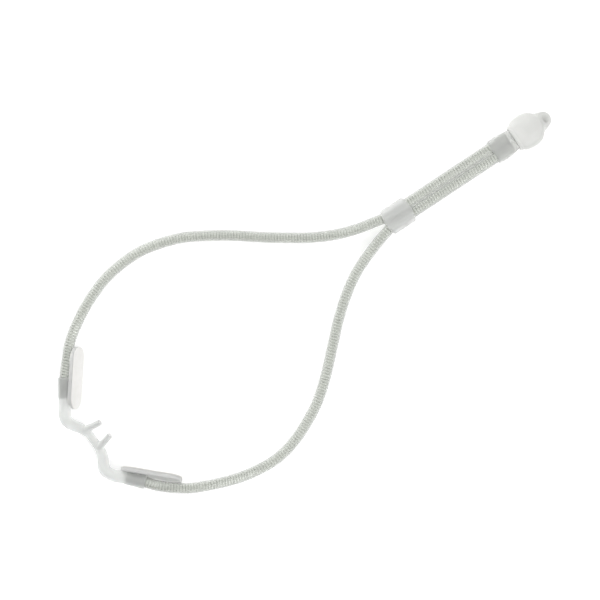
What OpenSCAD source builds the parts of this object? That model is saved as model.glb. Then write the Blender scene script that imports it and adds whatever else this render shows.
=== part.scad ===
// High-flow nasal cannula for an infant, lying flat on a table.
// A soft nasal piece with two prongs ends in two cuffs. A spring-lined tube leaves each cuff, over a cheek
// pad, and the two tubes make a loop that a slider closes. Past the slider they run side by side into the
// inlet connector. All sizes are millimetres. +X runs along the paired tubes and out of the inlet, +Z is up,
// and left is +Y. The origin is on the table, midway along and across the solid pieces.

/* [Tubes] */
// Outer diameter of each tube
tube_d = 4.9; // [4.6:0.1:4.9]
// Wall thickness of each tube's clear skin
tube_wall = 0.25; // [0.15:0.05:0.3]
// Thickness of the spring that lines each tube
spring_t = 0.3; // [0.2:0.05:0.3]
// Height of the paired tubes and of the connector's axis above the table
axis_z = 4.7; // [4.7:0.1:5.5]
// Distance of each paired tube from the connector's axis
pair_y = 2.5; // [2.5:0.05:2.6]

/* [Nasal piece] */
// Height of the arms and cuffs above the table
nasal_z = 6.8; // [6.8:0.1:7.5]
// Outer diameter of each cuff
nasal_cuff_d = 6.3; // [6.1:0.1:6.5]
// Length of each cuff
nasal_cuff_len = 10.4; // [9.5:0.1:11]
// Depth of the socket that each tube is bonded into
nasal_socket = 9.4; // [8:0.1:9.4]
// Outer diameter of each prong
prong_d = 2.8; // [2.5:0.1:3]
// Bore of each prong
prong_bore = 2; // [1.6:0.1:2]
// Length of each prong's axis, from inside the bridge to its tip
prong_len = 9.9; // [9:0.1:11]
// How steeply the prongs rise
prong_rise = 25; // [15:1:35]
// How much each prong leans towards the other
prong_toe_in = 10.8; // [6:0.1:12]

/* [Cheek pads] */
// Length of each pad
pad_len = 29.2; // [28:0.1:30]
// Width of each pad
pad_w = 11; // [10:0.1:12]
// Thickness of the soft pad
pad_t = 2; // [1.8:0.1:2.2]
// Thickness of the adhesive layer on the skin side
adhesive_t = 0.6; // [0.4:0.1:0.8]
// How far the left pad's outer face is turned down from facing up
left_pad_tilt = 110; // [100:1:115]
// How far the right pad's outer face is turned down from facing up
right_pad_tilt = 72; // [65:1:80]

/* [Slider] */
// Length of the slider at its middle
slider_len = 14.2; // [12:0.1:15]
// Diameter of each of its two barrels
slider_barrel_d = 7.8; // [7.6:0.1:8]
// Gap all round each tube inside the slider
slider_gap = 0.15; // [0.1:0.05:0.2]

/* [Connector] */
// Length of the cuff that holds both tubes
cuff_len = 11.6; // [11:0.1:12]
// Depth of its two sockets
cuff_socket = 9.3; // [9:0.1:9.5]
// Length of the grip body
grip_len = 14.2; // [13:0.1:15]
// Diameter of the inlet's bore
inlet_d = 4.4; // [4:0.1:4.8]
// Length of the inlet's nose past the grip, at its middle
nose_len = 3.5; // [3:0.1:4]
// How far the nose's end face leans back
nose_bevel = 37; // [25:1:40]

/* [Hidden] */
$fn = 48;
tiny = 0.01;
round_sides = 12;

tube_r = tube_d / 2;
spring_r = tube_r - tube_wall;
spring_bore_r = spring_r - spring_t;
// The spring's sleeve stays this far off the skin around it.
spring_clear = 0.02;
prong_r = prong_d / 2;
nasal_cuff_r = nasal_cuff_d / 2;

// The nasal piece's own frame: first number towards the face, second to the left, third up.
nasal_at = [-124.8, 0.3, 0];
nasal_turn = 4;
// The soft arms lie a little differently on the two sides. Where each cuff starts, and its direction.
left_cuff_start = [-0.5, 22];
right_cuff_start = [-0.5, 23];
left_cuff_turn = 53;
right_cuff_turn = 52;
// Each arm's centre line from the middle of the bridge to its cuff: towards the face, outwards, up, radius.
bridge_drop = 1.5;
left_arm = [
    [-1.5, 0, -bridge_drop, 1.9],
    [-1.5, 2.5, -bridge_drop, 1.9],
    [-2, 5, -bridge_drop, 2.2],
    [-3, 7.5, -1.2, 2.4],
    [-4.5, 10, -0.8, 2.6],
    [-5.5, 12.5, -0.4, 2.7],
    [-5.5, 15, 0, 2.8],
    [-4, 17.5, 0, 2.8],
    [-2, 20, 0, 2.8],
    [-0.2, 22.4, 0, 2.8]
];
right_arm = [
    [-1.5, 0, -bridge_drop, 1.9],
    [-1.5, 2.5, -bridge_drop, 1.9],
    [-1.5, 5, -bridge_drop, 2.2],
    [-2, 7.5, -1.2, 2.4],
    [-3, 10, -0.8, 2.6],
    [-4.5, 12.5, -0.4, 2.7],
    [-5.5, 15, 0, 2.8],
    [-5, 17.5, 0, 2.8],
    [-3.5, 20, 0, 2.8],
    [-0.2, 23.4, 0, 2.8]
];
// Radius of the arm's airway, as a share of the arm's own radius.
airway_share = 0.52;
prong_root = [-2.2, 5.35, nasal_z - 1.2];
// Each prong is thicker where it leaves the bridge, and straight from this far along its axis.
prong_root_r = 1.9;
prong_root_len = 4;

// Each pad's middle in the nasal frame, and its direction from the face's axis.
left_pad_at = [9.5, 27];
right_pad_at = [10, 30];
left_pad_turn = 49;
right_pad_turn = 47;
pad_total_t = pad_t + adhesive_t;
groove_gap = 0.05;

connector_x = 102;
connector_y = 8.1;
slider_x = 49.1;
slider_hole_r = tube_r + slider_gap;

// Free routes of the two tubes, from the cheek pads to the slider. They lie on the table between the two.
left_route = [
    [-116, 37, 6], [-110, 43.5, 5], [-100, 50.5, 3.5], [-90, 55.5, 3], [-80, 59, 2.5],
    [-70, 60.5, 2.5], [-60, 60.5, 2.5], [-50, 58.5, 2.5], [-40, 55, 2.5], [-30, 49.5, 2.5],
    [-20, 43, 2.5], [-10, 35.5, 2.5], [0, 28.5, 2.5], [10, 22, 2.5], [20, 17, 3],
    [30, 13.5, 4], [37, 12, 4.5]
];
right_route = [
    [-112, -35.5, 7.5], [-106, -40.5, 7.5], [-100, -44.5, 7], [-90, -49, 6], [-80, -52.5, 4.5],
    [-70, -54.5, 3], [-60, -55, 2.5], [-50, -53, 2.5], [-40, -49, 2.5], [-30, -43.5, 2.5],
    [-20, -35.5, 2.5], [-10, -26, 2.5], [0, -16.5, 2.5], [10, -8.5, 2.5], [20, -2.5, 3],
    [30, 1.5, 4], [36, 3.5, 4.5]
];
// Distances from the cuff's mouth at which the paired tubes have a ring.
pair_steps = [-58, -56, -45, -34, -23, -12, 0];

function unit(a) = a / norm(a);

// A nasal-frame point on one side, as a point of the whole object.
function from_nasal(p, side) =
    nasal_at + [
        p[0] * cos(nasal_turn) - side * p[1] * sin(nasal_turn),
        p[0] * sin(nasal_turn) + side * p[1] * cos(nasal_turn),
        p[2]
    ];

function cuff_start(side) = side > 0 ? left_cuff_start : right_cuff_start;

function cuff_turn(side) = side > 0 ? left_cuff_turn : right_cuff_turn;

function on_cuff(s, side) =
    let (start = cuff_start(side), turn = cuff_turn(side))
    from_nasal([start[0] + s * cos(turn), start[1] + s * sin(turn), nasal_z], side);

function pair_point(step, side) = [connector_x + step, connector_y + side * pair_y, axis_z];

function whole_route(free, side) = concat(
    [on_cuff(nasal_cuff_len - nasal_socket + 0.1, side), on_cuff(nasal_cuff_len, side)],
    free,
    [for (step = pair_steps) pair_point(step, side)],
    [pair_point(cuff_socket - 0.1, side)]
);

// The direction of a path at each of its points.
function headings(path) =
    let (last = len(path) - 1)
    [for (i = [0:last]) unit(path[min(i + 1, last)] - path[max(i - 1, 0)])];

function ring(at, heading, r, sides) =
    let (across = unit(cross([0, 0, 1], heading)), up = cross(heading, across))
    [for (k = [0:sides - 1]) at + r * (across * cos(360 * k / sides) + up * sin(360 * k / sides))];

function wall_faces(rings, sides, first, inward) = [
    for (i = [0:rings - 2], k = [0:sides - 1])
        let (a = first + i * sides + k, b = first + i * sides + (k + 1) % sides, c = b + sides, d = a + sides)
        each inward ? [[a, c, d], [a, b, c]] : [[a, d, c], [a, c, b]]
];

// A closed solid through a list of rings that have the same number of points.
module skin(rings) {
    sides = len(rings[0]);
    count = len(rings);
    end_cap = [for (k = [1:sides]) count * sides - k];
    polyhedron(
        points = [for (r = rings) each r],
        faces = concat([[for (k = [0:sides - 1]) k]], [end_cap], wall_faces(count, sides, 0, false))
    );
}

// A hollow tube along a path.
module pipe(path, outer_r, inner_r, sides) {
    along = headings(path);
    count = len(path);
    inner = count * sides;
    last = (count - 1) * sides;
    polyhedron(
        points = concat(
            [for (i = [0:count - 1]) each ring(path[i], along[i], outer_r, sides)],
            [for (i = [0:count - 1]) each ring(path[i], along[i], inner_r, sides)]
        ),
        faces = concat(
            wall_faces(count, sides, 0, false),
            wall_faces(count, sides, inner, true),
            [for (k = [0:sides - 1])
                let (n = (k + 1) % sides)
                each [[k, n, inner + n], [k, inner + n, inner + k]]],
            [for (k = [0:sides - 1]) let (n = (k + 1) % sides, a = last + k, b = last + n)
                each [[b, a, inner + a], [b, inner + a, inner + b]]]
        )
    );
}

module in_nasal(side) {
    translate(nasal_at)
        rotate([0, 0, nasal_turn])
            mirror([0, side > 0 ? 0 : 1, 0])
                children();
}

// A rod along one cuff's axis, from one distance to another.
module cuff_rod(side, r, from, to) {
    start = cuff_start(side);
    translate([start[0], start[1], nasal_z])
        rotate([0, 0, cuff_turn(side)])
            translate([from, 0, 0])
                rotate([0, 90, 0])
                    cylinder(h = to - from, r = r);
}

// A rod along one prong's axis, whose radius can change from one end to the other.
module prong_rod(from_r, to_r, from, to) {
    translate(prong_root)
        rotate([0, 0, -prong_toe_in])
            rotate([0, -prong_rise, 0])
                translate([from, 0, 0])
                    rotate([0, 90, 0])
                        cylinder(h = to - from, r1 = from_r, r2 = to_r);
}

// The bridge and both arms as one swept form, from cuff to cuff.
module arms(share, sides) {
    last = len(right_arm) - 1;
    both = concat(
        [for (i = [last:-1:1]) [right_arm[i][0], -right_arm[i][1], right_arm[i][2], right_arm[i][3]]],
        left_arm
    );
    path = [for (p = both) [p[0], p[1], nasal_z + p[2]]];
    along = headings(path);
    skin([for (i = [0:len(path) - 1]) ring(path[i], along[i], both[i][3] * share, sides)]);
}

module nasal_piece() {
    color("gainsboro")
        difference() {
            union() {
                in_nasal(1)
                    arms(1, 20);
                for (side = [1, -1])
                    in_nasal(side) {
                        cuff_rod(side, nasal_cuff_r, 0, nasal_cuff_len);
                        prong_rod(prong_root_r, prong_r, 0, prong_root_len);
                        prong_rod(prong_r, prong_r, prong_root_len - tiny, prong_len);
                    }
            }
            in_nasal(1)
                arms(airway_share, round_sides);
            for (side = [1, -1])
                in_nasal(side) {
                    cuff_rod(side, tube_r, nasal_cuff_len - nasal_socket, nasal_cuff_len + 1);
                    prong_rod(prong_bore / 2, prong_bore / 2, 0, prong_len + 1);
                }
        }
}

// A pad's own frame: X along it, Z out of its outer face. Its lowest edge touches the table.
module in_pad(side) {
    at = side > 0 ? left_pad_at : right_pad_at;
    turn = side > 0 ? left_pad_turn : right_pad_turn;
    tilt = side > 0 ? left_pad_tilt : right_pad_tilt;
    lift = (pad_w * sin(tilt) + pad_total_t * abs(cos(tilt))) / 2;
    in_nasal(side)
        translate([at[0], at[1], lift])
            rotate([0, 0, turn])
                rotate([-tilt, 0, 0])
                    children();
}

// A flat slab with round ends, its middle at the origin and its underside at the given height.
module slab(length, width, bottom, thickness) {
    straight = (length - width) / 2;
    translate([0, 0, bottom]) {
        for (end = [-1, 1])
            translate([end * straight, 0, 0])
                cylinder(h = thickness, d = width);
        translate([-straight, -width / 2, 0])
            cube([2 * straight, width, thickness]);
    }
}

module pad(side) {
    color("whitesmoke")
        difference() {
            in_pad(side)
                slab(pad_len, pad_w, adhesive_t - pad_total_t / 2, pad_t);
            in_nasal(side)
                cuff_rod(side, nasal_cuff_r + groove_gap, -8, nasal_cuff_len + groove_gap);
        }
}

module adhesive(side) {
    color("ivory")
        in_pad(side)
            slab(pad_len, pad_w, -pad_total_t / 2, adhesive_t);
}

module tube(free, side) {
    color("silver")
        pipe(whole_route(free, side), tube_r, spring_r, round_sides);
}

module spring(free, side) {
    color("lightgray")
        pipe(whole_route(free, side), spring_r - spring_clear, spring_bore_r, round_sides);
}

// Everything of the connector and the paired tubes is drawn along X from the cuff's mouth.
module in_connector() {
    translate([connector_x, connector_y, axis_z])
        children();
}

// Two rods side by side along X, and the flat stretch between them.
module twin_rod(r, apart, from, to, web) {
    for (side = [1, -1])
        translate([from, side * apart, 0])
            rotate([0, 90, 0])
                cylinder(h = to - from, r = r);
    if (web > 0)
        translate([from, -apart, -web])
            cube([to - from, 2 * apart, 2 * web]);
}

module slider() {
    half = slider_len / 2;
    end_bulge = 1.5;
    half_w = pair_y + slider_barrel_d / 2;
    end_r = (half_w * half_w + end_bulge * end_bulge) / (2 * end_bulge);
    web = 3.3;
    flare_r = slider_hole_r + 0.75;
    flare_len = 3;
    color("gainsboro")
        translate([slider_x, connector_y, axis_z])
            difference() {
                intersection() {
                    twin_rod(slider_barrel_d / 2, pair_y, -half, half, web);
                    translate([half - end_r, 0, -slider_barrel_d])
                        cylinder(h = 2 * slider_barrel_d, r = end_r, $fn = 96);
                    translate([end_r - half, 0, -slider_barrel_d])
                        cylinder(h = 2 * slider_barrel_d, r = end_r, $fn = 96);
                }
                twin_rod(slider_hole_r, pair_y, -half - 1, half + 1, slider_hole_r);
                for (side = [1, -1])
                    translate([-half, side * pair_y, 0])
                        rotate([0, 90, 0])
                            cylinder(h = flare_len, r1 = flare_r, r2 = slider_hole_r - tiny);
            }
}

// A rounded section across X: place along X, half width, half height, squareness of its corners.
function section(x, half_w, half_h, square, sides) = [
    for (k = [0:sides - 1])
        let (c = cos(360 * k / sides), s = sin(360 * k / sides))
        [x, half_w * sign(c) * pow(abs(c), square), half_h * sign(s) * pow(abs(s), square)]
];

module loft(profile, square, sides) {
    skin([for (p = profile) section(p[0], p[1], p[2], square, sides)]);
}

spigot_r = spring_bore_r - 0.1;
spigot_bore_r = 0.9;
spigot_from = 5;
core_r = 2.6;
core_end = 18;

module tube_cuff() {
    color("gainsboro")
        in_connector()
            difference() {
                loft([
                    [0, 5.45, 3.3], [0.5, 5.7, 3.5], [2.2, 5.95, 3.75], [4.5, 5.92, 3.75], [6.8, 5.75, 3.7],
                    [9.2, 5.4, 3.55], [cuff_len, 5.1, 3.4]
                ], 0.8, 40);
                twin_rod(tube_r, pair_y, -1, cuff_socket, 0);
                twin_rod(spigot_r, pair_y, cuff_socket - 1, cuff_len + 1, 0);
            }
}

module connector_core() {
    color("lightgray")
        in_connector()
            difference() {
                union() {
                    twin_rod(spigot_r, pair_y, spigot_from, cuff_len + 1, 0);
                    twin_rod(core_r, pair_y, cuff_len, core_end, core_r);
                }
                twin_rod(spigot_bore_r, pair_y, spigot_from - 1, core_end - 2, 0);
                twin_rod(inlet_d / 2 - 0.6, pair_y / 2, core_end - 3, core_end + 1, inlet_d / 2 - 0.6);
            }
}

module connector_shell() {
    grip_end = cuff_len + grip_len;
    nose_end = grip_end + 2 * nose_len;
    color("white")
        in_connector()
            difference() {
                union() {
                    loft([
                        [cuff_len, 5.9, 3.9], [cuff_len + 0.5, 6.5, 4.2], [cuff_len + 1.2, 6.65, 4.2],
                        [cuff_len + 1.7, 6.5, 4.1], [cuff_len + 2.2, 7.2, 4.3], [cuff_len + 3.2, 7.75, 4.55],
                        [cuff_len + 5.2, 8.1, 4.7], [cuff_len + 7.6, 8.15, 4.7], [cuff_len + 9.8, 7.85, 4.65],
                        [cuff_len + 11.2, 7.4, 4.6], [cuff_len + 12.2, 6.7, 4.5], [cuff_len + 13, 5.8, 4.4],
                        [grip_end, 4.9, 4.3]
                    ], 0.78, 48);
                    intersection() {
                        loft([
                            [grip_end - 2, 4.9, 4.4], [grip_end, 4.8, 4.4], [grip_end + 1.4, 4.35, 4.25],
                            [grip_end + 2.7, 3.85, 4.15], [grip_end + 3.5, 3.6, 4.1],
                            [grip_end + 4.6, 3.4, 4.05], [nose_end, 3.3, 4]
                        ], 1, 48);
                        translate([grip_end + nose_len, 0, 0])
                            rotate([0, -nose_bevel, 0])
                                translate([-30, -10, -20])
                                    cube([30, 20, 40]);
                    }
                }
                twin_rod(core_r, pair_y, cuff_len - 1, core_end, core_r);
                translate([core_end - 1, 0, 0])
                    rotate([0, 90, 0])
                        cylinder(h = nose_end - core_end + 4, d = inlet_d);
            }
}

nasal_piece();
pad(1);  // left_pad
pad(-1);  // right_pad
adhesive(1);  // left_adhesive
adhesive(-1);  // right_adhesive
tube(left_route, 1);  // left_tube
tube(right_route, -1);  // right_tube
spring(left_route, 1);  // left_spring
spring(right_route, -1);  // right_spring
slider();
tube_cuff();
connector_core();
connector_shell();
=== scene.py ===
# An infant's high-flow nasal cannula, lying flat on a white table and seen from above.
# Lengths written in millimetres are turned into metres by MM.
import math

import bmesh
import bpy
from mathutils import Matrix, Vector


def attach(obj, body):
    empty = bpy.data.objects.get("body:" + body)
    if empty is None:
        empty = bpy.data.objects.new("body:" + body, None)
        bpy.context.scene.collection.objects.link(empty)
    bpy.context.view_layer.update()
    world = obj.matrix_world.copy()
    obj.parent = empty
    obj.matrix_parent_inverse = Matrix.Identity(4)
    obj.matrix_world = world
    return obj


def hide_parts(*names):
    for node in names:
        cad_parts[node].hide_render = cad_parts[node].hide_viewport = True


MM = 0.001
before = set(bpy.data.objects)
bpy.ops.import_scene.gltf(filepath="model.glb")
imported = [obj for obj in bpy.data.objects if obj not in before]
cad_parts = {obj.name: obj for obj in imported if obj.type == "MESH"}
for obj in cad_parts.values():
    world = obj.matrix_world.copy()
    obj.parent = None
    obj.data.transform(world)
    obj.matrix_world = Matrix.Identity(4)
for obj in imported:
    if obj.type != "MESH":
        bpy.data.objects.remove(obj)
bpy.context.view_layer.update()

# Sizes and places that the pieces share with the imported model, in millimetres and degrees.
TUBE_R = 2.45
TUBE_BORE_R = 2.2
NASAL_AT = (-124.8, 0.3, 0.0)
NASAL_TURN = 4.0
NASAL_Z = 6.8
CUFF_START = {1: (-0.5, 22), -1: (-0.5, 23)}
CUFF_TURN = {1: 53.0, -1: 52.0}
CUFF_LEN = 10.4
CUFF_R = 3.15
SOCKET = 9.4
PRONG_ROOT = (-2.2, 5.35, NASAL_Z - 1.2)
PRONG_TOE_IN = 10.8
PRONG_RISE = 25.0
PRONG_LEN = 9.9
PRONG_R = 1.4
PRONG_BORE_R = 1.0
# Radius of the arms' airway, as a share of the arms' own radius.
AIRWAY_SHARE = 0.52
PAD_AT = {1: (9.5, 27), -1: (10, 30)}
PAD_TURN = {1: 49.0, -1: 47.0}
PAD_TILT = {1: 110.0, -1: 72.0}
PAD_LEN = 29.2
PAD_W = 11.0
PAD_T = 2.0
ADHESIVE_T = 0.6
CONNECTOR = (102.0, 8.1, 4.7)
PAIR_Y = 2.5
SLIDER_X = 49.1
TUBE_SOCKET = 9.3
GRIP_FROM = 11.6
GRIP_END = 25.8
NOSE_LEN = 3.5
NOSE_BEVEL = 37.0
INLET_R = 2.2

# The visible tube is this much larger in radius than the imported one, and its sockets clear it by FILM_GAP.
FILM_R = TUBE_R + 0.03
FILM_GAP = 0.02
# The pads' saddle clears the cuffs by this much, in radius.
SADDLE_GAP = 0.06
# Softening shrinks the arms, so they start this much larger in radius.
SOFTEN_LOSS = 0.04

# How far light spreads inside the soft, milky plastics, in millimetres, and how much of it does.
SCATTER = 4.0
MILKY = 0.8

# Centre lines of the nasal piece's arms, from the middle of the bridge to the cuff: towards the face,
# outwards, up from the arms' height, radius.
LEFT_ARM = [
    (-1.5, 0, -1.5, 1.9), (-1.5, 2.5, -1.5, 1.9), (-2, 5, -1.5, 2.2), (-3, 7.5, -1.2, 2.4),
    (-4.5, 10, -0.8, 2.6), (-5.5, 12.5, -0.4, 2.7), (-5.5, 15, 0, 2.8), (-4, 17.5, 0, 2.8),
    (-2, 20, 0, 2.8),
]
RIGHT_ARM = [
    (-1.5, 0, -1.5, 1.9), (-1.5, 2.5, -1.5, 1.9), (-1.5, 5, -1.5, 2.2), (-2, 7.5, -1.2, 2.4),
    (-3, 10, -0.8, 2.6), (-4.5, 12.5, -0.4, 2.7), (-5.5, 15, 0, 2.8), (-5, 17.5, 0, 2.8),
    (-3.5, 20, 0, 2.8),
]
# Free points of the tubes' centre lines, from the cheek cuffs to the slider.
LEFT_ROUTE = [
    (-116, 37, 6), (-110, 43.5, 5), (-100, 50.5, 3.5), (-90, 55.5, 3), (-80, 59, 2.5),
    (-70, 60.5, 2.5), (-60, 60.5, 2.5), (-50, 58.5, 2.5), (-40, 55, 2.5), (-30, 49.5, 2.5),
    (-20, 43, 2.5), (-10, 35.5, 2.5), (0, 28.5, 2.5), (10, 22, 2.5), (20, 17, 3),
    (30, 13.5, 4), (37, 12, 4.5),
]
RIGHT_ROUTE = [
    (-112, -35.5, 7.5), (-106, -40.5, 7.5), (-100, -44.5, 7), (-90, -49, 6), (-80, -52.5, 4.5),
    (-70, -54.5, 3), (-60, -55, 2.5), (-50, -53, 2.5), (-40, -49, 2.5), (-30, -43.5, 2.5),
    (-20, -35.5, 2.5), (-10, -26, 2.5), (0, -16.5, 2.5), (10, -8.5, 2.5), (20, -2.5, 3),
    (30, 1.5, 4), (36, 3.5, 4.5),
]
# Distances from the tube cuff's mouth of the points where the tubes run side by side.
PAIR_STEPS = (-58, -56, -45, -34, -23, -12, 0)

# The camera looks straight down, turned so that the connector points up to the right.
CAMERA_AT = (-10.4, 0.65)
CAMERA_TURN = -33.5
CAMERA_HEIGHT = 1166.0
CAMERA_LENS = 150


def vec(p):
    """A point given in millimetres, in metres."""
    return Vector(p) * MM


def nasal_matrix(side):
    """The nasal piece's frame, mirrored for the right-hand side."""
    turn = Matrix.Rotation(math.radians(NASAL_TURN), 4, "Z")
    return Matrix.Translation(vec(NASAL_AT)) @ turn @ Matrix.Diagonal((1, side, 1, 1))


def pad_matrix(side):
    """A pad's frame: X along it, Z out of its outer face, its lowest edge on the table."""
    tilt = math.radians(PAD_TILT[side])
    lift = (PAD_W * math.sin(tilt) + (PAD_T + ADHESIVE_T) * abs(math.cos(tilt))) / 2
    place = Matrix.Translation(vec((*PAD_AT[side], lift)))
    turn = Matrix.Rotation(math.radians(PAD_TURN[side]), 4, "Z")
    return nasal_matrix(side) @ place @ turn @ Matrix.Rotation(-tilt, 4, "X")


def on_cuff(s, side):
    """A point on one cuff's axis, s from the cuff's start, in that side's nasal frame."""
    turn = math.radians(CUFF_TURN[side])
    ahead, outward = CUFF_START[side]
    return (ahead + s * math.cos(turn), outward + s * math.sin(turn), NASAL_Z)


def pair_point(step, side):
    """A point on one tube where the two run side by side, step from the tube cuff's mouth."""
    return (CONNECTOR[0] + step, CONNECTOR[1] + side * PAIR_Y, CONNECTOR[2])


def whole_route(free, side):
    """Every route point of one tube, in metres, from its nasal socket to its connector socket."""
    socket = [nasal_matrix(side) @ vec(on_cuff(s, side)) for s in (CUFF_LEN - SOCKET + 0.1, CUFF_LEN)]
    pair = [vec(pair_point(step, side)) for step in (*PAIR_STEPS, TUBE_SOCKET - 0.1)]
    return socket + [vec(p) for p in free] + pair


def smooth_pieces(points, step):
    """For each two neighbours, points at about the given step along a smooth curve through all."""
    ends = [points[0] * 2 - points[1]] + list(points) + [points[-1] * 2 - points[-2]]
    out = []
    for a, b, c, d in zip(ends, ends[1:], ends[2:], ends[3:]):
        count = max(1, round((c - b).length / step))
        span = (c - b).length
        lead = (c - a) * (span / (span + (b - a).length))
        tail = (d - b) * (span / ((d - c).length + span))
        piece = []
        for i in range(count):
            t = i / count
            piece.append(
                b * (2 * t**3 - 3 * t**2 + 1) + lead * (t**3 - 2 * t**2 + t)
                + c * (3 * t**2 - 2 * t**3) + tail * (t**3 - t**2)
            )
        out.append(piece)
    return out


def smooth(points, step):
    return [p for piece in smooth_pieces(points, step) for p in piece] + [points[-1].copy()]


def smooth_with_radii(points, radii, step):
    """The same, with a radius for each point that changes evenly between the given ones."""
    fine, fine_r = [], []
    for a, b, r_a, r_b in zip(smooth_pieces(points, step), points[1:], radii, radii[1:]):
        fine += a
        fine_r += [r_a + (r_b - r_a) * i / len(a) for i in range(len(a))]
    return fine + [points[-1].copy()], fine_r + [radii[-1]]


def frames(path):
    """For each point of a path, two directions across it that don't twist along the way."""
    last = len(path) - 1
    headings = [(path[min(i + 1, last)] - path[max(i - 1, 0)]).normalized() for i in range(len(path))]
    across = Vector((0, 0, 1)).cross(headings[0]).normalized()
    out = []
    for heading in headings:
        across = (across - heading * across.dot(heading)).normalized()
        out.append((across, heading.cross(across)))
    return out


def add_mesh(name, verts, faces):
    """A new smooth-shaded object, its faces turned to look outwards."""
    mesh = bpy.data.meshes.new(name)
    mesh.from_pydata([tuple(v) for v in verts], [], faces)
    mesh.validate()
    obj = bpy.data.objects.new(name, mesh)
    bpy.context.scene.collection.objects.link(obj)
    bm = bmesh.new()
    bm.from_mesh(mesh)
    bmesh.ops.recalc_face_normals(bm, faces=bm.faces)
    bm.to_mesh(mesh)
    bm.free()
    for poly in mesh.polygons:
        poly.use_smooth = True
    return obj


def strip_faces(rows, sides, closed=False):
    """Quads between rows of points, row by row; closed joins the last row to the first."""
    faces = []
    for i in range(rows if closed else rows - 1):
        a = i * sides
        b = ((i + 1) % rows) * sides
        for k in range(sides):
            n = (k + 1) % sides
            faces.append((a + k, a + n, b + n, b + k))
    return faces


def capped_faces(rows, sides):
    """The same quads, with one face over the first row and one over the last."""
    last = (rows - 1) * sides
    faces = strip_faces(rows, sides)
    faces.append(tuple(range(sides)))
    faces.append(tuple(last + k for k in reversed(range(sides))))
    return faces


def rings(path, radii, sides):
    """Rows of points round a path, one row for each of its points."""
    verts = []
    for point, (across, up), r in zip(path, frames(path), radii):
        for k in range(sides):
            turn = 2 * math.pi * k / sides
            verts.append(point + (across * math.cos(turn) + up * math.sin(turn)) * r)
    return verts


def rod(name, path, radii, sides):
    """A closed solid of round sections along a path."""
    return add_mesh(name, rings(path, radii, sides), capped_faces(len(path), sides))


def pipe(name, path, outer_r, inner_r, sides):
    """A hollow tube along a path."""
    verts = rings(path, [outer_r] * len(path), sides)
    inner = rings(path, [inner_r] * len(path), sides)
    for i in reversed(range(len(path))):
        verts += inner[i * sides:(i + 1) * sides]
    return add_mesh(name, verts, strip_faces(2 * len(path), sides, closed=True))


def apply_modifiers(obj):
    deps = bpy.context.evaluated_depsgraph_get()
    mesh = bpy.data.meshes.new_from_object(obj.evaluated_get(deps))
    old = obj.data
    obj.modifiers.clear()
    obj.data = mesh
    bpy.data.meshes.remove(old)
    mesh.name = obj.name
    for poly in mesh.polygons:
        poly.use_smooth = True


def join(name, parts):
    """One object that holds the meshes of several."""
    bm = bmesh.new()
    for part in parts:
        bm.from_mesh(part.data)
        bpy.data.objects.remove(part, do_unlink=True)
    mesh = bpy.data.meshes.new(name)
    bm.to_mesh(mesh)
    bm.free()
    obj = bpy.data.objects.new(name, mesh)
    bpy.context.scene.collection.objects.link(obj)
    return obj


def mould(obj, voxel, rounds):
    """Melts overlapping closed forms into one skin with soft corners."""
    remesh = obj.modifiers.new("remesh", "REMESH")
    remesh.mode = "VOXEL"
    remesh.voxel_size = voxel * MM
    soften = obj.modifiers.new("soften", "SMOOTH")
    soften.factor = 0.5
    soften.iterations = rounds
    apply_modifiers(obj)


def cut(obj, tool):
    """Takes the tool's form out of the object, and deletes the tool."""
    hole = obj.modifiers.new("cut", "BOOLEAN")
    hole.operation = "DIFFERENCE"
    hole.solver = "EXACT"
    hole.object = tool
    apply_modifiers(obj)
    bpy.data.objects.remove(tool, do_unlink=True)


def mirror_point(p, side):
    return (p[0], p[1] * side, p[2])


def make_camera():
    """A long lens, straight above the table."""
    data = bpy.data.cameras.new("camera")
    data.lens = CAMERA_LENS
    data.clip_start = 0.01
    data.clip_end = 50
    cam = bpy.data.objects.new("camera", data)
    cam.location = (CAMERA_AT[0] * MM, CAMERA_AT[1] * MM, CAMERA_HEIGHT * MM)
    cam.rotation_euler = (0, 0, math.radians(CAMERA_TURN))
    bpy.context.scene.collection.objects.link(cam)
    bpy.context.scene.camera = cam


# ---- materials ----

def node_material(name):
    mat = bpy.data.materials.new(name)
    mat.use_nodes = True
    return mat, mat.node_tree.nodes, mat.node_tree.links


def mottled(nodes, links, shader, low, high, scale, bump, bump_scale):
    """A slight change of colour over the surface, and a fine grain in its gloss and relief."""
    where = nodes.new("ShaderNodeTexCoord")
    cloud = nodes.new("ShaderNodeTexNoise")
    cloud.inputs["Scale"].default_value = scale
    cloud.inputs["Detail"].default_value = 3
    ramp = nodes.new("ShaderNodeValToRGB")
    ramp.color_ramp.elements[0].position = 0.3
    ramp.color_ramp.elements[0].color = (*low, 1)
    ramp.color_ramp.elements[1].position = 0.7
    ramp.color_ramp.elements[1].color = (*high, 1)
    links.new(where.outputs["Object"], cloud.inputs["Vector"])
    links.new(cloud.outputs["Fac"], ramp.inputs["Fac"])
    links.new(ramp.outputs["Color"], shader.inputs["Base Color"])
    grain = nodes.new("ShaderNodeTexNoise")
    grain.inputs["Scale"].default_value = bump_scale
    grain.inputs["Detail"].default_value = 2
    relief = nodes.new("ShaderNodeBump")
    relief.inputs["Strength"].default_value = bump
    relief.inputs["Distance"].default_value = 0.0001
    links.new(where.outputs["Object"], grain.inputs["Vector"])
    links.new(grain.outputs["Fac"], relief.inputs["Height"])
    links.new(relief.outputs["Normal"], shader.inputs["Normal"])


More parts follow.
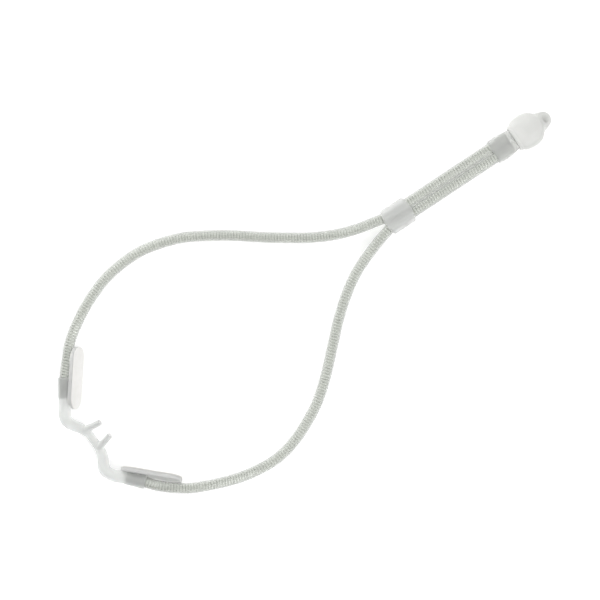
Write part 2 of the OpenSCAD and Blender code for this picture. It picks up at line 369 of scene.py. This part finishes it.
def translucent(name, low, high, clear_face, clear_edge, rough, bump, scatter=0.0):
    """Plastic or silicone that lets some light straight through, more where it is seen square on."""
    mat, nodes, links = node_material(name)
    shader = nodes["Principled BSDF"]
    shader.inputs["Roughness"].default_value = rough
    shader.inputs["IOR"].default_value = 1.42
    shader.inputs["Subsurface Weight"].default_value = scatter
    shader.inputs["Subsurface Radius"].default_value = (1, 1, 1)
    shader.inputs["Subsurface Scale"].default_value = SCATTER * MM
    mottled(nodes, links, shader, low, high, 160, bump, 2500)
    clear = nodes.new("ShaderNodeBsdfTransparent")
    clear.inputs["Color"].default_value = (0.97, 0.975, 0.965, 1)
    edge = nodes.new("ShaderNodeLayerWeight")
    edge.inputs["Blend"].default_value = 0.35
    amount = nodes.new("ShaderNodeMapRange")
    amount.inputs["To Min"].default_value = 1 - clear_face
    amount.inputs["To Max"].default_value = 1 - clear_edge
    mix = nodes.new("ShaderNodeMixShader")
    links.new(edge.outputs["Facing"], amount.inputs["Value"])
    links.new(amount.outputs["Result"], mix.inputs["Fac"])
    links.new(clear.outputs["BSDF"], mix.inputs[1])
    links.new(shader.outputs["BSDF"], mix.inputs[2])
    links.new(mix.outputs["Shader"], nodes["Material Output"].inputs["Surface"])
    return mat


def solid_plastic(name, low, high, rough, bump):
    """Plastic or gel that lets no light straight through."""
    mat, nodes, links = node_material(name)
    shader = nodes["Principled BSDF"]
    shader.inputs["Roughness"].default_value = rough
    shader.inputs["IOR"].default_value = 1.5
    mottled(nodes, links, shader, low, high, 300, bump, 4000)
    return mat


def make_materials():
    """Every finish, by the name of what wears it.

    A translucent one gives its darker and lighter tone, how clear it is square on and at its edge, its
    roughness and its grain. A solid one gives the two tones, roughness and grain.
    """
    return {
        "nasal": translucent(
            "nasal silicone", (0.87, 0.88, 0.88), (0.91, 0.92, 0.92), 0.68, 0.12, 0.34, 0.15, MILKY,
        ),
        "pad": translucent(
            "pad silicone", (0.94, 0.94, 0.92), (0.97, 0.97, 0.95), 0.3, 0.08, 0.55, 0.25, MILKY,
        ),
        "adhesive": solid_plastic("adhesive gel", (0.91, 0.90, 0.87), (0.95, 0.94, 0.92), 0.6, 0.4),
        "film": translucent("tube film", (0.70, 0.71, 0.69), (0.76, 0.77, 0.75), 0.95, 0.2, 0.1, 0.05),
        "spring": solid_plastic("spring wire", (0.84, 0.85, 0.82), (0.89, 0.90, 0.87), 0.25, 0.05),
        "slider": translucent(
            "slider plastic", (0.93, 0.94, 0.93), (0.96, 0.96, 0.96), 0.6, 0.08, 0.25, 0.2, MILKY,
        ),
        "cuff": translucent(
            "cuff silicone", (0.90, 0.91, 0.89), (0.94, 0.95, 0.93), 0.68, 0.1, 0.28, 0.15, MILKY,
        ),
        "core": solid_plastic("core plastic", (0.88, 0.89, 0.86), (0.92, 0.92, 0.90), 0.3, 0.05),
        "shell": translucent(
            "connector plastic", (0.86, 0.87, 0.84), (0.90, 0.90, 0.88), 0.25, 0.02, 0.36, 0.2,
        ),
    }


def finish_piece(obj, mat, body, nodes):
    """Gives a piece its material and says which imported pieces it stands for."""
    obj.data.materials.clear()
    obj.data.materials.append(mat)
    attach(obj, body)
    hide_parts(*nodes)


# ---- pieces ----

def arm_path(arm, side):
    """One arm's points and radii, from the middle of the bridge to the cuff's mouth."""
    points = [vec((p[0], side * p[1], NASAL_Z + p[2])) for p in arm]
    radii = [p[3] for p in arm]
    cuff = ((0.4, 2.9), (1.5, CUFF_R), (5.5, CUFF_R), (9.7, CUFF_R), (10.2, 3.05), (CUFF_LEN, 2.8))
    for s, r in cuff:
        points.append(vec(mirror_point(on_cuff(s, side), side)))
        radii.append(r)
    return points, radii


def make_nasal_piece(mats):
    """The bridge, arms, cuffs and prongs, moulded as one."""
    left, left_r = arm_path(LEFT_ARM, 1)
    right, right_r = arm_path(RIGHT_ARM, -1)
    path = right[:0:-1] + left
    radii = right_r[:0:-1] + left_r
    fine, fine_r = smooth_with_radii(path, radii, 0.4 * MM)
    arms = rod("arms", fine, [(r + SOFTEN_LOSS) * MM for r in fine_r], 40)
    piece = join("nasal_piece_skin", [arms, prong_rod(1), prong_rod(-1)])
    mould(piece, voxel=0.17, rounds=10)
    cut(piece, rod("airway", fine, [r * AIRWAY_SHARE * MM for r in fine_r], 24))
    for side in (1, -1):
        bore = [prong_point(s, side) for s in (0, PRONG_LEN + 2)]
        cut(piece, rod("bore", bore, [PRONG_BORE_R * MM] * 2, 32))
        socket = [vec(mirror_point(on_cuff(s, side), side)) for s in (CUFF_LEN - SOCKET, CUFF_LEN + 2)]
        cut(piece, rod("socket", socket, [(FILM_R + FILM_GAP) * MM] * 2, 48))
    piece.data.transform(nasal_matrix(1))
    finish_piece(piece, mats["nasal"], "cannula", ["nasal_piece"])


def prong_point(s, side):
    """A point on a prong's axis, s from its root, in the nasal frame."""
    toe, rise = math.radians(PRONG_TOE_IN), math.radians(PRONG_RISE)
    ahead = (math.cos(toe) * math.cos(rise), -math.sin(toe) * math.cos(rise), math.sin(rise))
    p = [PRONG_ROOT[i] + s * ahead[i] for i in range(3)]
    return vec(mirror_point(p, side))


def prong_rod(side):
    """One prong, wider at its root and rounded at its tip."""
    steps = [0, 1.5, 3.0, 4.2, 5.4, 7, 8.6, 9.5, PRONG_LEN]
    extra = [0.55, 0.5, 0.35, 0.18, 0.08, 0.06, 0.06, 0.02, -0.2]
    radii = [(PRONG_R + more) * MM for more in extra]
    return rod("prong", [prong_point(s, side) for s in steps], radii, 32)


def slab_rings(insets, heights, length, width, sides):
    """Rows of points round a flat form with round ends, each row inset and raised by its own amount."""
    verts = []
    straight = (length - width) / 2
    for inset, height in zip(insets, heights):
        r = width / 2 - inset
        for k in range(sides):
            turn = 2 * math.pi * (k + 0.5) / sides
            x = r * math.cos(turn) + math.copysign(straight, math.cos(turn))
            verts.append(Vector((x * MM, r * math.sin(turn) * MM, height * MM)))
    return verts


def slab_piece(name, insets, heights, length, width):
    """A closed flat form with round ends."""
    sides = 120
    verts = slab_rings(insets, heights, length, width, sides)
    return add_mesh(name, verts, capped_faces(len(insets), sides))


def make_pad(side, name, mats):
    """A soft pad with a low rim and a saddle that the cuff lies in."""
    low = ADHESIVE_T - (PAD_T + ADHESIVE_T) / 2
    top = low + PAD_T
    insets = [
        2.2, 0.35, 0.1, 0, 0, 0.12, 0.4, 0.8, 1.2, 1.5,
        1.8, 2.2, 2.6, 3.0, 3.4, 3.8, 4.2, 4.6, 5.0, 5.3, 5.48,
    ]
    rise = [0, 0, 0.1, 0.4, 1.45, 1.75, 1.93, 1.97, 1.85, 1.78]
    heights = [low + h for h in rise] + [top - 0.2 + 0.018 * k for k in range(len(insets) - len(rise))]
    pad = slab_piece(name, insets, heights, PAD_LEN, PAD_W)
    matrix = pad_matrix(side)
    place = nasal_matrix(side)
    start = place @ vec(on_cuff(-6, side))
    ahead = (place @ vec(on_cuff(CUFF_LEN, side)) - start).normalized()
    reach = (CUFF_LEN + 6.3) * MM
    face = (matrix.to_3x3() @ Vector((0, 0, 1))).normalized()
    room = (CUFF_R + SADDLE_GAP) * MM
    pad.data.transform(matrix)
    if side < 0:
        pad.data.flip_normals()
    for v in pad.data.vertices:
        rel = v.co - start
        along = rel.dot(ahead)
        if along > reach or along < -4 * MM:
            continue
        radial = rel - ahead * along
        if radial.length < room:
            lift = radial.dot(face)
            flat = radial - face * lift
            v.co -= face * (lift + math.sqrt(max(0.0, room**2 - flat.length**2)))
    finish_piece(pad, mats["pad"], "cannula", [name])


def make_adhesive(side, name, mats):
    """The thin layer on the pad's skin side, with a slightly domed face."""
    low = -(PAD_T + ADHESIVE_T) / 2
    insets = [5.4, 4.4, 3.4, 2.4, 1.4, 0.7, 0.3, 0.08, 0.02, 0.02, 0.08, 0.3, 1.0]
    rise = [-0.4, -0.38, -0.32, -0.22, -0.08, 0.02, 0.06, 0.12, 0.2, 0.44, 0.54, 0.6, 0.6]
    layer = slab_piece(name, insets, [low + h * 0.98 for h in rise], PAD_LEN, PAD_W)
    layer.data.transform(pad_matrix(side))
    if side < 0:
        layer.data.flip_normals()
    finish_piece(layer, mats["adhesive"], "cannula", [name])


def make_spring(name, path, mats):
    """A wound wire that follows the inside of a tube."""
    pitch, coil_r, wire_r, per_turn = 1.35, 1.78, 0.4, 18
    step = pitch / per_turn * MM
    fine = smooth(path, step)
    curve = bpy.data.curves.new(name, "CURVE")
    curve.dimensions = "3D"
    curve.bevel_depth = wire_r * MM
    curve.bevel_resolution = 1
    curve.use_fill_caps = True
    line = curve.splines.new("POLY")
    line.points.add(len(fine) - 1)
    gone = 0.0
    for i, (point, (across, up)) in enumerate(zip(fine, frames(fine))):
        gone += (point - fine[i - 1]).length if i else 0.0
        turn = 2 * math.pi * gone / (pitch * MM)
        p = point + (across * math.cos(turn) + up * math.sin(turn)) * coil_r * MM
        line.points[i].co = (*p, 1)
    obj = bpy.data.objects.new(name, curve)
    bpy.context.scene.collection.objects.link(obj)
    finish_piece(obj, mats["spring"], "cannula", [name])
    return obj


def make_tube(name, free, side, mats):
    """A tube's clear skin with its spring inside."""
    route = whole_route(free, side)
    path = smooth(route, 1.2 * MM)
    spring = make_spring(name.replace("tube", "spring"), route, mats)
    tube = pipe(name + "_film", path, FILM_R * MM, TUBE_BORE_R * MM, 28)
    finish_piece(tube, mats["film"], "cannula", [name])


def twin_outline(r, apart, web, sides):
    """Two round barrels side by side, with the shallow valley between them filled to the web's height."""
    points = []
    for k in range(sides):
        turn = 2 * math.pi * k / sides
        c, s = math.cos(turn), math.sin(turn)
        y = apart * max(-1.0, min(1.0, 1.6 * c)) + r * c
        off = max(0.0, abs(y) - apart)
        dip = web + (r - web) * (1 - math.cos(math.pi * min(1.0, abs(y) / apart))) / 2
        z = math.copysign(min(dip, math.sqrt(max(0.0, r * r - off * off))), s) if abs(y) < apart + r else 0.0
        points.append((y, z if abs(s) > 1e-6 else 0.0))
    return points


def make_slider(mats):
    """A double-barrelled sleeve with bulging ends and flared mouths."""
    sides, half, bulge = 96, 7.1, 1.5
    outer = twin_outline(3.9, PAIR_Y, 3.35, sides)
    hole_r = TUBE_R + 0.15
    inner = twin_outline(hole_r, PAIR_Y, hole_r, sides)
    half_w = 6.4
    # Once round the sleeve's wall: share of the half length, and of the way from the inside out.
    stations = [
        (-0.9, 1), (-0.6, 1), (-0.3, 1), (0, 1), (0.3, 1), (0.6, 1), (0.9, 1), (0.955, 0.97), (0.985, 0.86),
        (1.0, 0.68), (0.995, 0.5), (0.97, 0.38), (0.92, 0.22), (0.82, 0.05), (0.7, 0), (0.35, 0), (0, 0),
        (-0.35, 0), (-0.7, 0), (-0.82, 0.05), (-0.92, 0.22), (-0.97, 0.38), (-0.995, 0.5), (-1.0, 0.68),
        (-0.985, 0.86), (-0.955, 0.97),
    ]
    verts = []
    for t, w in stations:
        for (oy, oz), (iy, iz) in zip(outer, inner):
            y = iy + (oy - iy) * w
            z = iz + (oz - iz) * w
            x = t * (half - bulge * min(1.0, abs(y) / half_w) ** 2)
            verts.append(Vector((SLIDER_X + x, CONNECTOR[1] + y, CONNECTOR[2] + z)) * MM)
    slider = add_mesh("slider_sleeve", verts, strip_faces(len(stations), sides, closed=True))
    finish_piece(slider, mats["slider"], "slider", ["slider"])


def rounded_section(x, half_w, half_h, square, sides):
    """Points round a section across the connector; a lower square gives squarer corners."""
    points = []
    for k in range(sides):
        turn = 2 * math.pi * k / sides
        c, s = math.cos(turn), math.sin(turn)
        y = half_w * math.copysign(abs(c) ** square, c)
        z = half_h * math.copysign(abs(s) ** square, s)
        points.append(Vector((CONNECTOR[0] + x, CONNECTOR[1] + y, CONNECTOR[2] + z)) * MM)
    return points


def loft(name, profile, square, sides):
    """A closed form through rounded sections: place along the connector, half width, half height."""
    verts = []
    for x, half_w, half_h in profile:
        verts += rounded_section(x, half_w, half_h, square, sides)
    return add_mesh(name, verts, capped_faces(len(profile), sides))


def axis_point(x, y=0.0):
    """A point at the height of the connector's axis, x along it and y beside it."""
    return Vector((CONNECTOR[0] + x, CONNECTOR[1] + y, CONNECTOR[2])) * MM


def make_tube_cuff(mats):
    """The translucent sleeve that both tubes plug into."""
    cuff = loft("tube_cuff_sleeve", [
        (0, 5.3, 3.1), (0.12, 5.45, 3.3), (0.5, 5.68, 3.5), (1.2, 5.85, 3.65), (2.2, 5.95, 3.75),
        (4.5, 5.92, 3.75), (6.8, 5.75, 3.7), (8.2, 5.58, 3.62), (9.2, 5.42, 3.55), (GRIP_FROM, 5.1, 3.4),
    ], 0.8, 72)
    for side in (1, -1):
        ends = [axis_point(x, side * PAIR_Y) for x in (-1, TUBE_SOCKET)]
        cut(cuff, rod("socket", ends, [(FILM_R + FILM_GAP) * MM] * 2, 40))
    finish_piece(cuff, mats["cuff"], "cannula", ["tube_cuff"])


def make_shell(mats):
    """The milky grip body with its rear rim and bevelled nose."""
    body = loft("body", [
        (13.0, 5.9, 4.0), (13.4, 6.9, 4.2), (13.9, 7.35, 4.35), (14.8, 7.75, 4.55), (16.2, 8.05, 4.68),
        (17.5, 8.15, 4.7), (19.2, 8.17, 4.7), (21.4, 7.88, 4.65), (22.8, 7.42, 4.6), (23.8, 6.75, 4.5),
        (24.7, 5.85, 4.4), (GRIP_END, 4.7, 4.3),
    ], 0.78, 72)
    rim = loft("rim", [
        (GRIP_FROM, 5.9, 3.8), (11.95, 6.45, 4.12), (12.8, 6.65, 4.2), (13.5, 6.4, 4.05),
    ], 0.7, 72)
    nose = loft("nose", [
        (22, 4.9, 4.4), (GRIP_END, 4.82, 4.4), (27.2, 4.38, 4.27), (28.5, 3.88, 4.17), (29.3, 3.63, 4.12),
        (30.4, 3.43, 4.07), (33.5, 3.3, 4.0),
    ], 1, 64)
    cut(nose, add_mesh("bevel", *bevel_box(GRIP_END + NOSE_LEN, NOSE_BEVEL)))
    shell = join("connector_grip", [body, rim, nose])
    mould(shell, voxel=0.2, rounds=8)
    cut(shell, rod("inlet", [axis_point(x) for x in (15, 36)], [INLET_R * MM] * 2, 48))
    finish_piece(shell, mats["shell"], "cannula", ["connector_shell"])


def bevel_box(x, lean):
    """A block whose near face is the nose's end face, crossing the axis at x and leaning back by lean."""
    turn = Matrix.Rotation(-math.radians(lean), 4, "Y")
    place = Matrix.Translation(axis_point(x)) @ turn
    corners = [Vector((a, b, c)) * MM for a in (0, 30) for b in (-10, 10) for c in (-20, 20)]
    faces = [(0, 1, 3, 2), (4, 6, 7, 5), (0, 4, 5, 1), (2, 3, 7, 6), (0, 2, 6, 4), (1, 5, 7, 3)]
    return [place @ c for c in corners], faces


def make_stage():
    """The white table, the light around it and the lamps. Lengths here are in metres."""
    size = 4.0
    drop = 0.0002
    corners = [(-size, -size), (size, -size), (size, size), (-size, size)]
    floor = add_mesh("table", [Vector((x, y, -drop)) for x, y in corners], [(0, 1, 2, 3)])
    mat, nodes, links = node_material("white table")
    shader = nodes["Principled BSDF"]
    shader.inputs["Roughness"].default_value = 0.9
    shader.inputs["Base Color"].default_value = (0.9, 0.9, 0.9, 1)
    shader.inputs["Emission Color"].default_value = (1, 1, 1, 1)
    shader.inputs["Emission Strength"].default_value = 0.35
    floor.data.materials.append(mat)
    world = bpy.data.worlds.new("studio")
    world.use_nodes = True
    sky = world.node_tree.nodes["Background"]
    sky.inputs["Color"].default_value = (1, 1, 1, 1)
    sky.inputs["Strength"].default_value = 0.3
    bpy.context.scene.world = world
    for name, place, size_m, power in (
        ("left softbox", (-0.1, 0.85, 0.4), 0.5, 4.5),
        ("right softbox", (0.15, -0.65, 0.72), 0.5, 3.5),
        ("overhead", (0.0, 0.0, 1.7), 1.2, 8.0),
    ):
        light = bpy.data.lights.new(name, "AREA")
        light.size = size_m
        light.energy = power
        lamp = bpy.data.objects.new(name, light)
        lamp.location = place
        aim = Vector((0, 0, 0)) - Vector(place)
        lamp.rotation_euler = aim.to_track_quat("-Z", "Y").to_euler()
        bpy.context.scene.collection.objects.link(lamp)
    bpy.context.scene.view_settings.view_transform = "Standard"
    bpy.context.scene.cycles.transparent_max_bounces = 32


make_camera()
materials = make_materials()
make_tube("left_tube", LEFT_ROUTE, 1, materials)
make_tube("right_tube", RIGHT_ROUTE, -1, materials)
make_nasal_piece(materials)
for pad_side, pad_name in ((1, "left"), (-1, "right")):
    make_pad(pad_side, pad_name + "_pad", materials)
    make_adhesive(pad_side, pad_name + "_adhesive", materials)
make_slider(materials)
make_tube_cuff(materials)
make_shell(materials)
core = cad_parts["connector_core"]
core.data.materials.clear()
core.data.materials.append(materials["core"])
make_stage()
